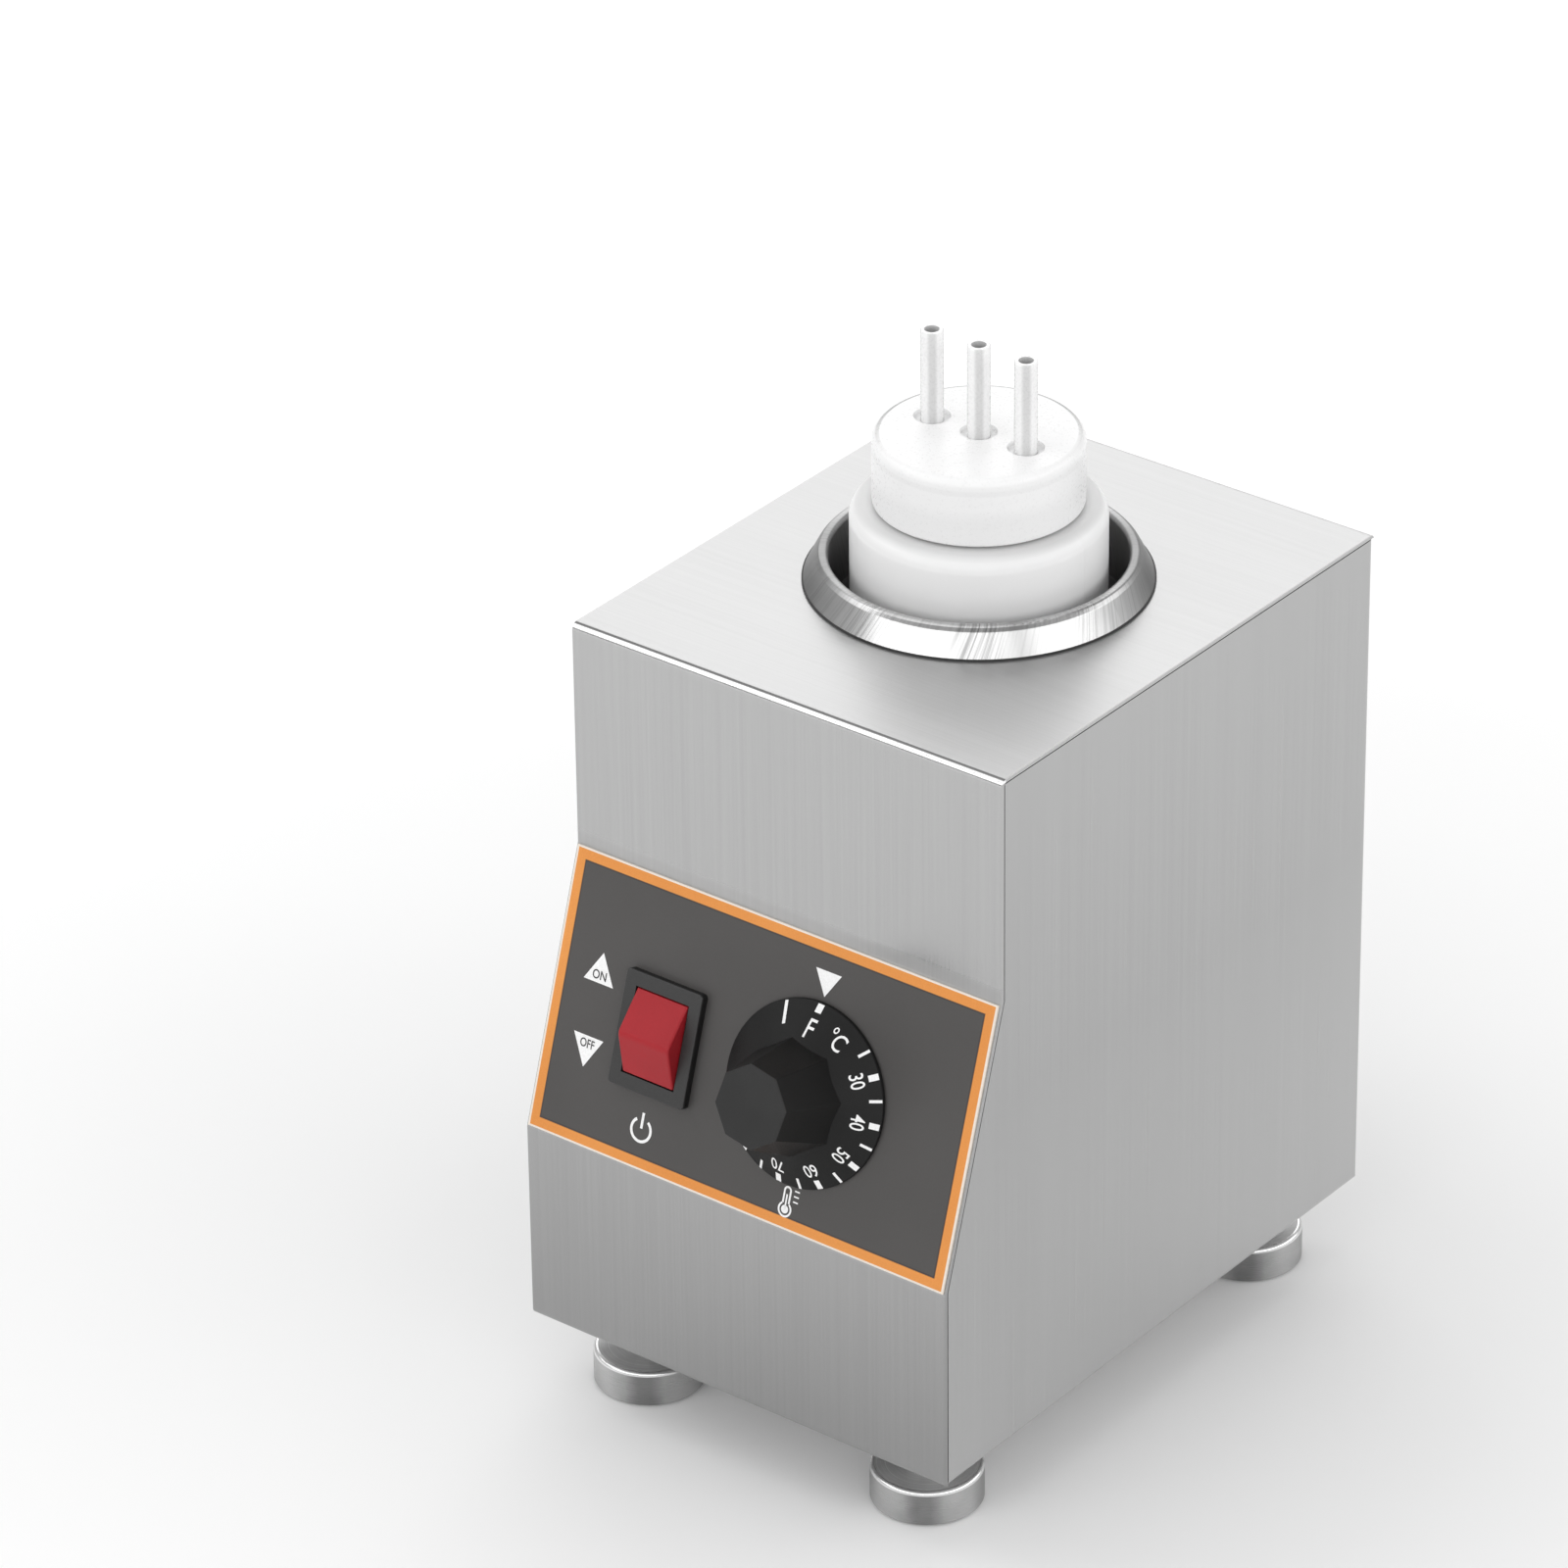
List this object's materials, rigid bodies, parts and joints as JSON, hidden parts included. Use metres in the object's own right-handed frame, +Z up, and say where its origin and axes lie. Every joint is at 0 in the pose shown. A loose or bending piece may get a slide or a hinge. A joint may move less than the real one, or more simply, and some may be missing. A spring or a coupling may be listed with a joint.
{
  "type": "topping warmer",
  "caption": "Countertop box warmer with a slanted control panel and a heated round well in which a spouted sauce bottle stands.",
  "frame": {"origin": "middle of the footprint on the surface that the feet stand on", "axes": "+Z up, -Y towards the control panel, +X to the right of a person who faces the panel"},
  "size_m": [0.14, 0.2105, 0.2945],
  "materials": {
    "steel_front": "brushed stainless steel",
    "steel_side": "brushed stainless steel",
    "steel_rear": "satin stainless steel",
    "fastener": "bright zinc",
    "brass": "bright brass",
    "rubber": "matt black rubber",
    "gasket": "dark silicone",
    "polished_steel": "polished stainless steel",
    "well_steel": "drawn stainless steel",
    "bottle_plastic": "white semi-gloss",
    "cap_plastic": "white semi-gloss",
    "spout_plastic": "white semi-gloss",
    "overlay_print": "satin printed film, orange border",
    "black_plastic": "satin black",
    "red_plastic": "glossy red",
    "knob_plastic": "satin dark grey",
    "thermostat_case": "plated steel",
    "heater_metal": "aluminised steel",
    "ceramic": "glazed ceramic",
    "copper": "copper",
    "mineral_wool": "soft pressed wool",
    "sleeve_plastic": "clear grey vinyl",
    "live_insulation": "brown insulation",
    "neutral_insulation": "blue insulation",
    "earth_insulation": "green and yellow insulation",
    "foot_steel": "satin turned steel"
  },
  "bodies": {
    "casing": {"base_plate": "steel_rear", "base_plate_screws": "fastener", "capillary_tube": "copper", "casing_wrap": "steel_front", "collar_gasket": "gasket", "cutout_terminals": "brass", "earth_lead": "earth_insulation", "earth_stud": "brass", "foot_front_left": "foot_steel", "foot_front_right": "foot_steel", "foot_nuts": "fastener", "foot_pads": "rubber", "foot_rear_left": "foot_steel", "foot_rear_right": "foot_steel", "heater_band": "heater_metal", "heater_clamp_screw": "fastener", "heater_terminals": "ceramic", "heating_well": "well_steel", "inlet_pins": "brass", "inlet_screws": "fastener", "inlet_socket": "black_plastic", "insulation_pad": "mineral_wool", "insulation_wrap": "mineral_wool", "lead_terminals": "sleeve_plastic", "live_leads": "live_insulation", "neutral_leads": "neutral_insulation", "panel_overlay": "overlay_print", "rear_panel": "steel_rear", "rear_panel_screws": "fastener", "rocker_pivot_pin": "fastener", "sensor_bulb": "copper", "sensor_clip": "fastener", "side_panel_left": "steel_side", "side_panel_right": "steel_side", "switch_bezel": "black_plastic", "switch_terminals": "brass", "thermal_cutout": "black_plastic", "thermostat_body": "thermostat_case", "thermostat_screws": "fastener", "thermostat_terminals": "brass", "well_collar": "polished_steel", "well_nuts": "fastener"},
    "rocker": {"switch_rocker": "red_plastic"},
    "dial": {"thermostat_knob": "knob_plastic", "thermostat_shaft": "brass"},
    "bottle": {"bottle_body": "bottle_plastic"},
    "cap_liner": {"cap_seal": "rubber"},
    "cap": {"bottle_cap": "cap_plastic", "spout_left": "spout_plastic", "spout_middle": "spout_plastic", "spout_right": "spout_plastic"}
  },
  "joints": [
    {"name": "rocker_tilt", "type": "hinge", "parent": "casing", "child": "rocker", "pos_m": [-0.0322, -0.07875, 0.11953], "axis": [1, 0, 0], "range_deg": [-8, 8]},
    {"name": "dial_turn", "type": "hinge", "parent": "casing", "child": "dial", "pos_m": [0.0165, -0.07806, 0.12004], "axis": [0, -0.9526, 0.3043], "range_deg": [-26, 250]},
    {"name": "bottle_lift", "type": "slide", "parent": "casing", "child": "bottle", "axis": [0, 0, 1], "range_m": [0, 0.21]},
    {"name": "cap_lift", "type": "slide", "parent": "bottle", "child": "cap_liner", "axis": [0, 0, 1], "range_m": [0, 0.00626]},
    {"name": "cap_turn", "type": "hinge", "parent": "cap_liner", "child": "cap", "pos_m": [0, 0.01951, 0.2497], "axis": [0, 0, 1], "range_deg": [0, 450]}
  ],
  "couplings": [
    {"joint": "cap_lift", "follows": "cap_turn", "m_per_rad": 0.00079577}
  ]
}
